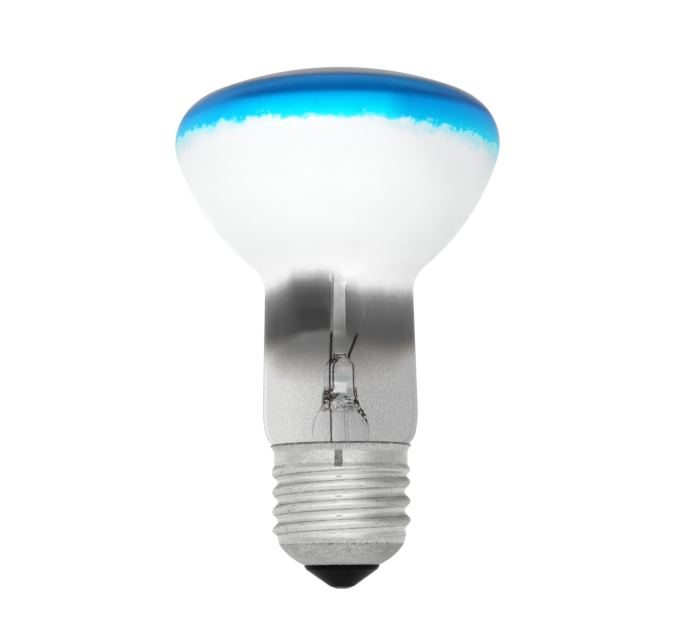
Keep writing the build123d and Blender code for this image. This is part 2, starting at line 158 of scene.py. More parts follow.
def on_arc(a, phi):
    return a[0][0] + a[4] * a[1] * cos(radians(phi)), a[0][1] + a[4] * a[1] * sin(radians(phi))


def follow(p, r, phi0, phi1, s):
    arcs.append(((p[0] - s * r * cos(radians(phi0)), p[1] - s * r * sin(radians(phi0))), r, phi0, phi1, s))
    return on_arc(arcs[-1], phi1)


p = on_arc(arcs[-1], PHI_BODY)
p = follow(p, R_BODY, PHI_BODY, PHI_THROAT, 1)
neck_top = follow(p, R_THROAT, PHI_THROAT, TAPER, -1)
neck_low = (neck_top[0] + NECK_LENGTH * sin(radians(TAPER)), neck_top[1] - NECK_LENGTH * cos(radians(TAPER)))
p = follow(neck_low, R_NECKIN, TAPER, PHI_NECKIN, 1)
p = follow(p, R_TUCK, PHI_NECKIN, PHI_TUCK, 1)
seat = follow(p, R_SEAT, PHI_TUCK, 0.0, -1)
R_SEAL = seat[0]


def wall_path(depth, step):
    """The wall's line from the dome's middle down to the seal, depth below the outside."""
    path = []
    for k, (c, r, a0, a1, s) in enumerate(arcs):
        if k == 4:
            n = (cos(radians(TAPER)), sin(radians(TAPER)))
            path += line_points(
                (neck_top[0] - depth * n[0], neck_top[1] - depth * n[1]),
                (neck_low[0] - depth * n[0], neck_low[1] - depth * n[1]),
                step,
            )
        flip = 0.0 if s > 0 else 180.0
        path += arc_points(c, r - s * depth, a0 + flip, a1 + flip, step)
    path += line_points((R_SEAL - depth, seat[1]), (R_SEAL - depth, Z_SEAL), step * 2)
    path = without_repeats(path)
    path[0] = (0.0, path[0][1])
    return path


outside = wall_path(0.0, 0.62)
inside = wall_path(WALL, 0.85)
bulb_path = outside + inside[::-1]
n_bulb = 192
bulb_verts, bulb_faces = turned(bulb_path, n_bulb)
bulb = add_piece("bulb", bulb_verts, bulb_faces, ("glass_bulb",))

# faces of the wall: 0 coated head, 1 clear neck, 2 mirrored inside, 3 inside of the neck
Z_CLEAR, Z_MIRROR = 63.0, 60.2
outer_count = len(outside)
for poly in bulb.data.polygons:
    ring = [0 if v == 0 else 1 + (v - 1) // n_bulb for v in poly.vertices]
    z = sum(bulb.data.vertices[v].co.z for v in poly.vertices) / len(poly.vertices) / MM
    outer = max(ring) < outer_count
    if outer:
        poly.material_index = 0 if z > Z_CLEAR else 1
    else:
        poly.material_index = 2 if z > Z_MIRROR else 3

# ----------------------------------------------------------------------- glass stem
R_FLARE, FLARE_WALL = 5.4, 0.8
PRESS_Z0, PRESS_Z1, PRESS_TURN = 35.4, 43.8, 48.8
R_TUBE, R_BORE, Z_TIP_OFF = 1.85, 1.1, 8.4
Z_BLOW, R_BLOW = 35.3, 0.55
R_ARBOR, Z_BUTTON, R_BUTTON, LIP = 1.15, 60.2, 1.9, 1.1

# outer skin from the button down to the seal: height, wide half, narrow half
skin = [
    (61.55, 0.0, 0.0), (61.48, 0.62, 0.62), (61.2, 1.25, 1.25), (60.75, 1.68, 1.68), (60.2, 1.9, 1.9), (59.6, 1.86, 1.86),
    (59.0, 1.62, 1.62), (58.4, 1.3, 1.3), (57.8, 1.15, 1.15), (56.0, 1.15, 1.15), (53.0, 1.15, 1.15), (50.0, 1.15, 1.15),
    (47.0, 1.15, 1.15), (45.5, 1.15, 1.15), (44.9, 1.2, 1.2), (44.5, 1.36, 1.36), (44.15, 1.68, 1.62), (43.85, 2.0, 1.74),
    (43.4, 2.5, 1.72), (42.9, 2.98, 1.74), (42.2, 3.34, 1.86), (41.2, 3.54, 1.96), (40.0, 3.6, 1.99), (38.8, 3.6, 2.02),
    (37.6, 3.63, 2.22), (36.6, 3.76, 2.6), (35.7, 3.93, 3.1), (35.0, 3.88, 3.55), (34.4, 3.98, 3.9), (33.4, 4.5, 4.48),
    (32.5, 4.96, 4.96), (31.6, 5.25, 5.25), (30.4, 5.4, 5.4), (28.4, 5.4, 5.4), (26.3, 5.4, 5.4), (24.2, 5.4, 5.4),
    (22.4, 5.55, 5.55), (20.9, 5.95, 5.95), (19.4, 6.68, 6.68), (18.2, 7.5, 7.5), (17.1, 8.6, 8.6), (Z_SEAL, R_SEAL - WALL, R_SEAL - WALL),
]
skin = smooth_through(skin, 4)
lip_arc = arc_points((R_SEAL - LIP, Z_SEAL - 0.5), LIP, 0, -125, 0.2)
under = smooth_through(
    [lip_arc[-1], (8.6, 15.6), (7.0, 17.2), (5.9, 18.75), (5.1, 20.4), (4.7, 22.2), (4.6, 24.0), (4.6, 27.2), (4.6, 30.4),
     (4.42, 31.35), (3.95, 32.5), (3.3, 33.6), (2.7, 34.2), (2.15, 34.25), (1.93, 33.8), (R_TUBE, 33.0)], 4
)
tube = line_points((R_TUBE, 33.0), (R_TUBE, Z_TIP_OFF + 3.2), 1.4)
tip = smooth_through([(R_TUBE, Z_TIP_OFF + 3.2), (1.68, Z_TIP_OFF + 2.0), (1.35, Z_TIP_OFF + 1.2), (0.75, Z_TIP_OFF + 0.3), (0.0, Z_TIP_OFF)], 5)
foot = without_repeats([(R_SEAL, Z_SEAL)] + lip_arc + under[1:] + tube[1:] + tip[1:])
stem_rows = without_repeats(skin) + [(z, r, r) for r, z in foot]


def flatness(z):
    """Power of the section's curve: 2 is an ellipse, more is flatter, as the jaws leave it."""
    up, down = min(max((z - 35.2) / 2.0, 0.0), 1.0), min(max((z - 42.9) / 1.2, 0.0), 1.0)
    return 2.0 + 0.9 * up * up * (3 - 2 * up) * (1 - down * down * (3 - 2 * down))


def ripple(th, z):
    """Unevenness left by the press jaws, strongest where the press meets the flare and the rod."""
    low = 0.17 * exp(-(((z - 35.0) / 1.2) ** 2)) * (0.5 * sin(3 * th + 2.1 * z) + 0.4 * sin(5 * th - 4.1 * z + 1.0) + 0.3 * sin(8 * th + 6.0 * z))
    top = 0.09 * exp(-(((z - 43.7) / 0.55) ** 2)) * (0.6 * sin(4 * th + 7.0 * z) + 0.4 * sin(7 * th - 9.0 * z + 2.0))
    return low + top


def crease(th, z):
    """Melted creases down one side of the flare's shoulder."""
    off = radians((degrees(th) + PRESS_TURN + 180.0) % 360.0 - 180.0)
    band = exp(-(((off + 0.2) / 0.42) ** 2)) * exp(-(((z - 33.1) / 1.2) ** 2))
    return 0.3 * band * (0.7 * sin(11.0 * off + 2.5 * z) + 0.45 * sin(6.5 * z - 5.0 * off + 1.3))


n_skin = len(without_repeats(skin))
n_stem = 96
stem_verts, stem_rings, stem_faces = [], [], []
for k, (z, wide, narrow) in enumerate(stem_rows):
    if wide < 1e-9:
        stem_rings.append([len(stem_verts)] * n_stem)
        stem_verts.append((0.0, 0.0, z))
        continue
    ring = []
    for i in range(n_stem):
        th = 2 * pi * i / n_stem
        swell = ripple(th, z) if z > 31.0 else 0.0
        if k < n_skin:
            swell += crease(th, z)
        e = 2.0 / flatness(z)
        u = (wide + swell) * abs(cos(th)) ** e * (1 if cos(th) > 0 else -1)
        v = (narrow + swell) * abs(sin(th)) ** e * (1 if sin(th) > 0 else -1)
        ct, st = cos(radians(PRESS_TURN)), sin(radians(PRESS_TURN))
        ring.append(len(stem_verts))
        stem_verts.append((u * ct - v * st, u * st + v * ct, z))
    stem_rings.append(ring)
for a, b in zip(stem_rings, stem_rings[1:]):
    for i in range(n_stem):
        j = (i + 1) % n_stem
        face = []
        for v in (a[i], b[i], b[j], a[j]):
            if v not in face:
                face.append(v)
        stem_faces.append(tuple(face))
# bore of the exhaust tube, with the blow hole out of the press's foot
Z_BORE = Z_BLOW + R_BLOW + 0.3
bore_path = [(0.0, Z_BORE), (0.55, Z_BORE - 0.05), (0.95, Z_BORE - 0.25), (R_BORE, Z_BORE - 0.6)] + line_points((R_BORE, Z_BORE - 0.6), (R_BORE, 12.0), 2.0)[1:] + [
    (0.95, 11.4), (0.5, 11.08), (0.0, 11.0)]
bv, bf = turned(bore_path, 48)
base = len(stem_verts)
stem_verts += bv
stem_faces += [tuple(base + v for v in f[::-1]) for f in bf]


def plain_object(name, verts, faces):
    me = bpy.data.meshes.new(name)
    me.from_pydata(verts, [], faces)
    me.update()
    ob = bpy.data.objects.new(name, me)
    bpy.context.scene.collection.objects.link(ob)
    return ob


def cut(verts, faces, tool_verts, tool_faces):
    """Points and faces of a closed mesh with another closed mesh taken out of it."""
    body, tool = plain_object("cut_body", verts, faces), plain_object("cut_tool", tool_verts, tool_faces)
    mod = body.modifiers.new("cut", "BOOLEAN")
    mod.operation, mod.solver, mod.object = "DIFFERENCE", "EXACT", tool
    me = bpy.data.meshes.new_from_object(body.evaluated_get(bpy.context.evaluated_depsgraph_get()))
    out = [tuple(v.co) for v in me.vertices], [tuple(q.vertices) for q in me.polygons]
    for ob in (body, tool):
        old = ob.data
        bpy.data.objects.remove(ob)
        bpy.data.meshes.remove(old)
    bpy.data.meshes.remove(me)
    return out


hole_az, hole_sides = radians(PRESS_TURN - 90.0), 24
hole_verts, hole_faces = [], []
for reach in (0.35, 4.8):
    for i in range(hole_sides):
        a = 2 * pi * i / hole_sides
        side, up = R_BLOW * cos(a), R_BLOW * sin(a)
        hole_verts.append((reach * cos(hole_az) - side * sin(hole_az), reach * sin(hole_az) + side * cos(hole_az), Z_BLOW + up))
for i in range(hole_sides):
    j = (i + 1) % hole_sides
    hole_faces.append((i, j, hole_sides + j, hole_sides + i))
hole_faces += [tuple(range(hole_sides))[::-1], tuple(range(hole_sides, 2 * hole_sides))]
stem_verts, stem_faces = cut(stem_verts, stem_faces, hole_verts, hole_faces)
stem = add_piece("stem", stem_verts, stem_faces, ("glass_stem",), sharp=60)

# -------------------------------------------------------------------- screw shell
SHEET, PITCH = 0.28, 3.629
R_CREST, R_ROOT, Z_CREST_LEFT = 13.2, 12.13, 11.05
Z_FOOT, R_FOOT, Z_CREASE, R_CREASE = 4.55, 7.25, 8.35, 11.8
Z_T0, Z_T1, R_WAIST, Z_ROLL, R_ROLL, ROLL = 9.4, 23.5, 12.75, 25.5, 2.0, 51.0


def ease(x):
    x = min(max(x, 0.0), 1.0)
    return x * x * (3 - 2 * x)


def thread_section(z):
    ring = (R_CREST - R_ROOT) * ease((z - 21.0) / 1.25)
    leave = ease((z - 22.45) / 1.0)
    root = R_ROOT + ring * (1 - leave) + (R_WAIST - R_ROOT) * leave
    a = ease((z - 9.6) / 1.3) * (R_CREST - root) / 2 * (1 - ease((z - 22.0) / 0.6))
    turn = pi + 2 * pi * (z - Z_CREST_LEFT) / PITCH
    return root + a, a * cos(turn), a * sin(turn)


def shell_path(inset, step):
    """Rows of the shell's face from the foot to the lip: (r, z, is it threaded)."""
    rows = [(r, z, False) for r, z in three_point_arc(
        (R_FOOT - 0.18 * inset, Z_FOOT + inset), (10.25 - 0.71 * inset, 6.55 + 0.8 * inset), (R_CREASE - inset, Z_CREASE + 0.2 * inset), step * 1.6)]
    rows += [(r, z, False) for r, z in line_points((R_CREASE - inset, Z_CREASE + 0.2 * inset), (R_ROOT - inset, Z_T0), step * 1.5)][1:-1]
    n = int(ceil((Z_T1 - Z_T0) / step))
    rows += [(0.0, Z_T0 + (Z_T1 - Z_T0) * i / n, True) for i in range(n + 1)]
    rows += [(r, z, False) for r, z in line_points((R_WAIST - inset, Z_T1), (R_WAIST - inset, Z_ROLL), step * 2)][1:]
    rows += [(r, z, False) for r, z in arc_points((R_WAIST + R_ROLL, Z_ROLL), R_ROLL + inset, 180, 180 - ROLL, step)][1:]
    return rows


def shell_radius(row, th, inset):
    r, z, threaded = row
    if not threaded:
        return r
    rad, ex, ey = thread_section(z)
    rad -= inset
    along = ex * cos(th) + ey * sin(th)
    return along + sqrt(rad * rad - ex * ex - ey * ey + along * along)


out_rows = shell_path(0.0, 0.13)
in_rows = shell_path(SHEET, 0.22)
rows = [(row, 0.0) for row in out_rows] + [(row, SHEET) for row in in_rows[::-1]]
sv, sf = turned([(1.0, row[1]) for row, _ in rows], 216, radius=lambda k, th, r: shell_radius(rows[k][0], th, rows[k][1]), loop=True)
shell = add_piece("shell", sv, [f[::-1] for f in sf], ("screw_shell",), sharp=50)

# --------------------------------------------------- insulator, contact and solder
insulator_path = (
    [(0.85, 0.42)]
    + arc_points((2.1, 0.77), 0.35, -90, -54, 0.05)
    + arc_points((6.42, 4.0), 0.5, -54, -12, 0.06)
    + line_points((R_FOOT - 0.12, 4.12), (R_FOOT - 0.05, Z_FOOT + SHEET), 0.3)
    + three_point_arc((R_FOOT - 0.05, Z_FOOT + SHEET), (10.05, 6.78), (R_CREASE - SHEET, Z_CREASE + 0.06), 0.4)[1:]
    + [(10.6, Z_CREASE + 0.06)]
    + smooth_through([(10.6, Z_CREASE + 0.06), (9.4, 7.4), (7.0, 6.3), (4.0, 5.2), (0.85, 4.4)], 4)[1:]
)
iv, jf = turned(without_repeats(insulator_path), 128, loop=True)
insulator = add_piece("insulator", iv, [f[::-1] for f in jf], ("cap_insulator",), sharp=40)

contact_path = [(0.4, 0.2), (1.55, 0.2)] + arc_points((1.62, 0.3), 0.1, -90, -30, 0.03) + [(1.93, 0.37), (1.96, 0.42), (0.85, 0.42), (0.85, 4.4), (0.4, 4.4)]
cv, cf = turned(without_repeats(contact_path), 96, loop=True)
contact = add_piece("contact", cv, [f[::-1] for f in cf], ("centre_contact",), sharp=30)

solder_path = [(0.0, 0.0), (0.4, 0.0)] + three_point_arc((0.75, 0.0), (1.12, 0.06), (1.4, 0.2), 0.08) + [(0.4, 0.2), (0.4, 0.62), (0.0, 0.62)]
dv, df = turned(without_repeats(solder_path), 64)
solder = add_piece("solder", dv, [f[::-1] for f in df], ("contact_solder",), sharp=40)

# ------------------------------------------------------------------------- filament
R_RING, Z_RING, R_COIL, RING_START, RING_END = 9.5, 66.0, 0.42, 15.8, 260.0


def tube_along(points, r, sides):
    """A capped round tube along a line of points, with a frame carried along it."""
    pts = [Vector(q) for q in points]
    verts, faces = [], []
    tangent = (pts[1] - pts[0]).normalized()
    side = tangent.orthogonal().normalized()
    for k, q in enumerate(pts):
        ahead = (pts[min(k + 1, len(pts) - 1)] - pts[max(k - 1, 0)]).normalized()
        side = (side - ahead * side.dot(ahead)).normalized()
        up = ahead.cross(side)
        for i in range(sides):
            a = 2 * pi * i / sides
            verts.append(tuple(q + side * (r * cos(a)) + up * (r * sin(a))))
    for k in range(len(pts) - 1):
        for i in range(sides):
            j = (i + 1) % sides
            faces.append((k * sides + i, k * sides + j, (k + 1) * sides + j, (k + 1) * sides + i))
    faces.append(tuple(range(sides))[::-1])
    last = (len(pts) - 1) * sides
    faces.append(tuple(last + i for i in range(sides)))
    return verts, faces


COIL_WIRE, TURNS, PER_TURN = 0.085, 150, 14
coil = []
for k in range(TURNS * PER_TURN + 1):
    t = k / (TURNS * PER_TURN)
    az = radians(RING_START + (RING_END - RING_START) * t)
    a = 2 * pi * TURNS * t
    rr = R_RING + (R_COIL - COIL_WIRE) * cos(a)
    coil.append((rr * cos(az), rr * sin(az), Z_RING + (R_COIL - COIL_WIRE) * sin(a)))
fv, ff = tube_along(coil, COIL_WIRE, 8)
filament = add_piece("coil", fv, ff, ("filament",), sharp=60)

# ======================================================================== materials


def lin(*rgb):
    """Linear colour from 0-255 display values."""
    out = []
    for v in rgb:
        v /= 255.0
        out.append(v / 12.92 if v <= 0.04045 else ((v + 0.055) / 1.055) ** 2.4)
    return (*out, 1.0)


class Graph:
    """A node material; positions come in millimetres of the shared frame."""

    def __init__(self, name, world=False):
        self.mat = bpy.data.worlds.new(name) if world else bpy.data.materials.new(name)
        self.mat.use_nodes = True
        self.nt = self.mat.node_tree
        self.nt.nodes.clear()
        self.out = self.new("OutputWorld" if world else "OutputMaterial")
        coords = self.new("TexCoord").outputs["Generated" if world else "Object"]
        self.pos = self.new("VectorMath", operation="SCALE", Vector=coords, Scale=1.0 if world else 1000.0).outputs[0]
        xyz = self.new("SeparateXYZ", Vector=self.pos)
        self.x, self.y, self.z = xyz.outputs
        self._az = None

    def new(self, kind, **values):
        node = self.nt.nodes.new("ShaderNode" + kind)
        for key, value in values.items():
            if key.islower() and hasattr(node, key):
                setattr(node, key, value)
            else:
                self.put(node.inputs[key.replace("_", " ")], value)
        return node

    def put(self, socket, value):
        if isinstance(value, bpy.types.NodeSocket):
            self.nt.links.new(value, socket)
        elif isinstance(value, bpy.types.Node):
            self.nt.links.new(value.outputs[0], socket)
        else:
            socket.default_value = value

    def math(self, op, a, b=0.0, c=0.0, clamp=False):
        n = self.nt.nodes.new("ShaderNodeMath")
        n.operation, n.use_clamp = op, clamp
        for s, v in zip(n.inputs, (a, b, c)):
            self.put(s, v)
        return n.outputs[0]

    def add(self, a, b):
        return self.math("ADD", a, b)

    def sub(self, a, b):
        return self.math("SUBTRACT", a, b)

    def mul(self, a, b):
        return self.math("MULTIPLY", a, b)

    def step(self, lo, hi, x, out_lo=0.0, out_hi=1.0):
        """Smooth step of x from lo to hi; lo may be above hi."""
        if isinstance(lo, (int, float)) and isinstance(hi, (int, float)) and lo > hi:
            lo, hi, out_lo, out_hi = hi, lo, out_hi, out_lo
        n = self.nt.nodes.new("ShaderNodeMapRange")
        n.interpolation_type = "SMOOTHSTEP"
        for name, v in (("Value", x), ("From Min", lo), ("From Max", hi), ("To Min", out_lo), ("To Max", out_hi)):
            self.put(n.inputs[name], v)
        return n.outputs[0]

    def azimuth(self):
        """Azimuth in turns from 0 to 1; 0.75 faces the viewer."""
        if self._az is None:
            a = self.math("ARCTAN2", self.y, self.x)
            self._az = self.math("FRACT", self.add(self.mul(a, 1 / (2 * pi)), 1.0))
        return self._az

    def noise(self, scale, detail=2.0, rough=0.5, stretch=None, distort=0.0, offset=0.0):
        """Noise about 0.5, scale in features per millimetre."""
        vec = self.pos
        if stretch:
            vec = self.new("VectorMath", operation="MULTIPLY", Vector=vec).outputs[0]
            self.put(vec.node.inputs[1], stretch)
        if offset:
            vec = self.new("VectorMath", operation="ADD", Vector=vec).outputs[0]
            self.put(vec.node.inputs[1], (offset, offset * 0.7, -offset * 1.3))
        n = self.new("TexNoise", Vector=vec, Scale=scale, Detail=detail, Roughness=rough, Distortion=distort)
        return n.outputs[0]

    def mix(self, fac, a, b):
        n = self.nt.nodes.new("ShaderNodeMix")
        n.data_type = "RGBA"
        n.clamp_factor = True
        for i, v in ((0, fac), (6, a), (7, b)):
            self.put(n.inputs[i], v)
        return n.outputs[2]

    def ramp(self, x, stops, mode="LINEAR"):
        """Colour ramp over x in 0-1 from given stops."""
        n = self.nt.nodes.new("ShaderNodeValToRGB")
        n.color_ramp.interpolation = mode
        els = n.color_ramp.elements
        while len(els) > 1:
            els.remove(els[-1])
        for k, (at, colour) in enumerate(stops):
            e = els[0] if k == 0 else els.new(at)
            e.position = at
            e.color = colour if len(colour) == 4 else (*colour, 1.0)
        self.put(n.inputs[0], x)
        return n.outputs[0]

    def curve(self, x, stops, lo, hi, mode="EASE"):
        """A number read off given stops over x in 0-1."""
        grey = [(at, ((v - lo) / (hi - lo),) * 3) for at, v in stops]
        fac = self.new("RGBToBW", Color=self.ramp(x, grey, mode)).outputs[0]
        return self.add(self.mul(fac, hi - lo), lo)

    def bump(self, height, strength, distance_mm, normal=None):
        n = self.new("Bump", Strength=strength, Distance=distance_mm * MM, Height=height)
        if normal is not None:
            self.put(n.inputs["Normal"], normal)
        return n.outputs[0]

    def principled(self, **values):
        n = self.nt.nodes.new("ShaderNodeBsdfPrincipled")
        for key, value in values.items():
            self.put(n.inputs[key.replace("_", " ")], value)
        return n.outputs[0]

    def mixed(self, fac, a, b):
        n = self.nt.nodes.new("ShaderNodeMixShader")
        self.put(n.inputs[0], fac)
        self.put(n.inputs[1], a)
        self.put(n.inputs[2], b)
        return n.outputs[0]

    def clear(self, colour):
        n = self.nt.nodes.new("ShaderNodeBsdfTransparent")
        self.put(n.inputs[0], colour)
        return n.outputs[0]

    def done(self, shader):
        self.nt.links.new(shader, self.out.inputs["Surface"])
        return self.mat


# ------------------------------------------------------------- coat of the head
def white_coat(g):
    """Colour and grain of the white reflector coat."""
    cloud = g.noise(0.16, 4.0, 0.6)
    fine = g.noise(1.3, 3.0, 0.6, offset=7.0)
    tone = g.mix(g.step(0.35, 0.75, cloud), lin(246, 247, 246), lin(243, 244, 244))
    tone = g.mix(g.mul(g.step(0.5, 0.8, fine), 0.25), tone, lin(236, 238, 239))
    tone = g.mix(g.mul(g.step(72.0, 84.0, g.z), 0.9), tone, lin(237, 238, 238))
    return tone, fine


def head_material():
    g = Graph("reflector_coat")
    az = g.azimuth()
    tone, fine = white_coat(g)
    # blue lacquer: a cloudy lower edge that wanders round the head, more broken on one side
    edge = g.curve(az, [(0.0, 82.9), (0.12, 84.0), (0.3, 85.0), (0.45, 84.9), (0.5, 84.4), (0.59, 85.5), (0.67, 85.2), (0.75, 84.4),
                        (0.83, 84.2), (0.925, 83.4), (0.97, 82.9), (1.0, 82.9)], 80.0, 90.0)
    right = g.step(4.0, 20.0, g.x)
    wander = g.mul(g.sub(g.noise(0.22, 2.0, 0.5), 0.5), 1.8)
    billow = g.mul(g.sub(g.noise(0.5, 3.0, 0.55, offset=3.0), 0.5), 2.6)
    splash = g.mul(g.sub(g.noise(1.2, 3.0, 0.65, offset=11.0), 0.5), g.add(0.9, g.mul(right, 1.9)))
    level = g.sub(g.add(g.add(g.add(g.z, wander), billow), splash), edge)
    pale_in = g.step(-0.3, 0.1, level)
    blue_in = g.step(-0.05, 0.65, level)
    # thin wash below the edge, wider towards the sides
    wash = g.mul(g.step(-2.8, 0.2, level), g.add(0.1, g.math("MAXIMUM", g.mul(g.step(5.0, 22.0, g.x), 0.85), g.mul(g.step(-10.0, -25.0, g.x), 0.55))))
    wash = g.mul(wash, g.add(0.55, g.mul(g.step(0.35, 0.65, g.noise(0.9, 3.0, 0.65, offset=31.0)), 0.45)))
    # specks where the lacquer did not take, just above the edge
    spot = g.noise(1.5, 2.0, 0.5, offset=21.0)
    near = g.mul(g.step(0.1, 0.5, level), g.step(1.7, 0.9, level))
    specks = g.mul(g.mul(g.step(0.63, 0.72, spot), near), g.add(0.3, g.mul(right, 0.6)))
    height = g.math("MULTIPLY_ADD", g.z, 1 / 18.0, -82.0 / 18.0, clamp=True)
    at = lambda z: (z - 82.0) / 18.0
    # the blue runs from pale cyan at its edge to deeper blue above, partly the lacquer itself and partly painted light:
    # lighter in front than at the sides and back, a painted dark ring round the shoulder, lighter again on its left
    front = g.ramp(height, [
        (at(83.0), lin(50, 234, 248)), (at(84.8), lin(28, 234, 250)), (at(85.6), lin(6, 228, 250)), (at(86.8), lin(2, 215, 248)),
        (at(88.2), lin(1, 191, 244)), (at(88.95), lin(1, 164, 232)), (at(89.5), lin(1, 118, 190)), (at(90.05), lin(1, 90, 156)),
        (at(91.0), lin(2, 99, 169)), (at(92.0), lin(4, 116, 184)), (at(93.0), lin(5, 124, 192)), (at(96.0), lin(5, 130, 204)), (at(99.5), lin(4, 138, 212))])
    side = g.ramp(height, [
        (at(83.0), lin(24, 214, 238)), (at(84.4), lin(10, 205, 238)), (at(85.6), lin(3, 184, 234)), (at(86.8), lin(2, 166, 229)), (at(88.5), lin(1, 146, 220)),
        (at(89.4), lin(1, 110, 180)), (at(90.05), lin(1, 84, 146)), (at(91.0), lin(2, 104, 172)), (at(92.0), lin(4, 124, 190)), (at(93.0), lin(5, 132, 200)),
        (at(96.0), lin(5, 134, 206)), (at(99.5), lin(4, 138, 212))])
    drift = g.add(g.x, g.mul(g.sub(g.noise(0.12), 0.5), 6.0))
    off = g.math("MAXIMUM", g.step(8.0, 13.5, drift), g.mul(g.step(-9.0, -24.0, drift), 0.6))
    blue = g.mix(g.math("MAXIMUM", off, g.step(-12.0, 4.0, g.y)), front, side)
    blue = g.mix(g.mul(g.mul(g.step(-15.0, -24.0, g.x), g.step(87.8, 89.2, g.z)), 0.75), blue, lin(4, 140, 206))
    blue = g.mix(g.mul(g.step(0.45, 0.75, g.noise(0.5, 4.0, 0.6, offset=5.0)), 0.12), blue, lin(0, 126, 206))
    crown = g.mul(g.step(93.0, 96.5, g.z), g.step(0.38, 0.68, g.noise(0.11, 5.0, 0.62, offset=43.0)))
    blue = g.mix(g.mul(crown, 0.5), blue, lin(3, 116, 192))
    # painted reflection: a teal-grey shade below the edge at the sides
    side_reflection = g.math("MAXIMUM", g.mul(g.step(25.0, 32.0, g.x), g.step(71.0, 83.0, g.z)), g.mul(g.step(-23.0, -31.0, g.x), g.step(81.0, 85.0, g.z)))
    tone = g.mix(g.mul(side_reflection, 0.55), tone, lin(176, 208, 214))
    tone = g.mix(wash, tone, lin(120, 226, 240))
    colour = g.mix(pale_in, tone, g.mix(blue_in, lin(140, 238, 248), blue))
    colour = g.mix(specks, colour, lin(236, 249, 251))
    rough = g.add(g.mul(blue_in, -0.25), g.add(g.mul(g.sub(fine, 0.5), 0.06), 0.34))
    bump = g.bump(g.add(g.mul(pale_in, 0.4), g.mul(fine, 0.15)), 0.3, 0.03)
    body = g.principled(Base_Color=colour, Roughness=rough, Specular_IOR_Level=g.sub(0.3, g.mul(blue_in, 0.25)), Specular_Tint=(0.04, 0.5, 0.9, 1.0), Normal=bump)
    # gloss of the clear top coat, which takes over at a glancing view
    facing = g.new("LayerWeight", Blend=0.5).outputs["Facing"]
    gloss = g.curve(facing, [(0.0, 0.0), (0.4, 0.0), (0.45, 0.015), (0.51, 0.035), (0.58, 0.09), (0.64, 0.24), (0.69, 0.46), (0.73, 0.52), (0.76, 0.56), (0.79, 0.6), (0.82, 0.67), (0.85, 0.72), (0.89, 0.75), (1.0, 0.78)],
                    0.0, 1.0, "LINEAR")
    gloss = g.mul(g.mul(gloss, g.step(89.0, 93.0, g.z)), g.step(8.0, -8.0, g.y, 0.5, 1.0))
    sheen = g.principled(Base_Color=(1, 1, 1, 1), Metallic=1.0, Roughness=0.12)
    return g.done(g.mixed(g.mul(gloss, blue_in), body, sheen))


# ---------------------------------------------------------------- glass of the neck
def coat_edge(g):
    """How far the white coat covers the neck, 0 to 1: it thins out downwards over some millimetres."""
    az = g.azimuth()
    edge = g.curve(az, [(0.0, 56.2), (0.12, 56.8), (0.3, 57.2), (0.42, 57.0), (0.5, 56.0), (0.58, 56.1), (0.62, 56.9), (0.655, 58.3), (0.70, 58.5),
                        (0.742, 58.0), (0.77, 56.0), (0.80, 55.2), (0.9, 55.3), (0.97, 55.8), (1.0, 56.2)], 50.0, 60.0)
    wander = g.mul(g.sub(g.noise(0.3, 3.0, 0.6), 0.5), 0.9)
    streak = g.mul(g.sub(g.noise(1.1, 3.0, 0.6, stretch=(1.0, 1.0, 0.08), offset=15.0), 0.5), 0.45)
    level = g.sub(g.add(g.add(g.z, wander), streak), edge)
    at = lambda s: (s + 7.0) / 10.0
    return g.curve(g.math("MULTIPLY_ADD", level, 0.1, 0.7, clamp=True), [
        (0.0, 0.0), (at(-6.0), 0.01), (at(-4.0), 0.04), (at(-2.5), 0.1), (at(-1.5), 0.18), (at(-0.8), 0.29), (at(0.0), 0.5), (at(0.6), 0.67),
        (at(1.2), 0.86), (at(2.0), 0.97), (at(2.6), 1.0)], 0.0, 1.0, "LINEAR")


def shade_across(g):
    """Painted shade across the neck's glass, 0 to 1: none on the left, strongest towards the right."""
    return g.step(-13.0, 6.0, g.x)


def neck_outside():
    g = Graph("neck_glass")
    tone, fine = white_coat(g)
    cover = coat_edge(g)
    coat = g.principled(Base_Color=tone, Roughness=0.34, Specular_IOR_Level=0.3)
    facing = g.new("LayerWeight", Blend=0.5).outputs["Facing"]
    grain = g.noise(4.6, 2.0, 0.7, offset=1.0)
    pale = g.mix(g.step(0.25, 0.75, grain), (1.0, 1.0, 1.0, 1.0), (0.93, 0.93, 0.925, 1.0))
    # painted shade: the wall's see-through tint is darker towards the right
    wall = g.mix(shade_across(g), (0.9, 0.905, 0.905, 1.0), (0.66, 0.665, 0.665, 1.0))
    share, _ = film_share(g)
    wall = g.new("VectorMath", operation="SCALE", Vector=wall, Scale=g.sub(1.0, share)).outputs[0]
    tint = g.mix(g.step(0.672, 0.702, facing), pale, wall)
    tint = g.mix(g.math("POWER", facing, 12.0), tint, (0.42, 0.43, 0.43, 1.0))
    mirror = g.add(0.002, g.mul(g.math("POWER", facing, 6.0), 0.3))
    gloss = g.principled(Base_Color=(1, 1, 1, 1), Metallic=1.0, Roughness=0.05)
    glass = g.mixed(mirror, g.clear(tint), gloss)
    return g.done(g.mixed(cover, glass, coat))


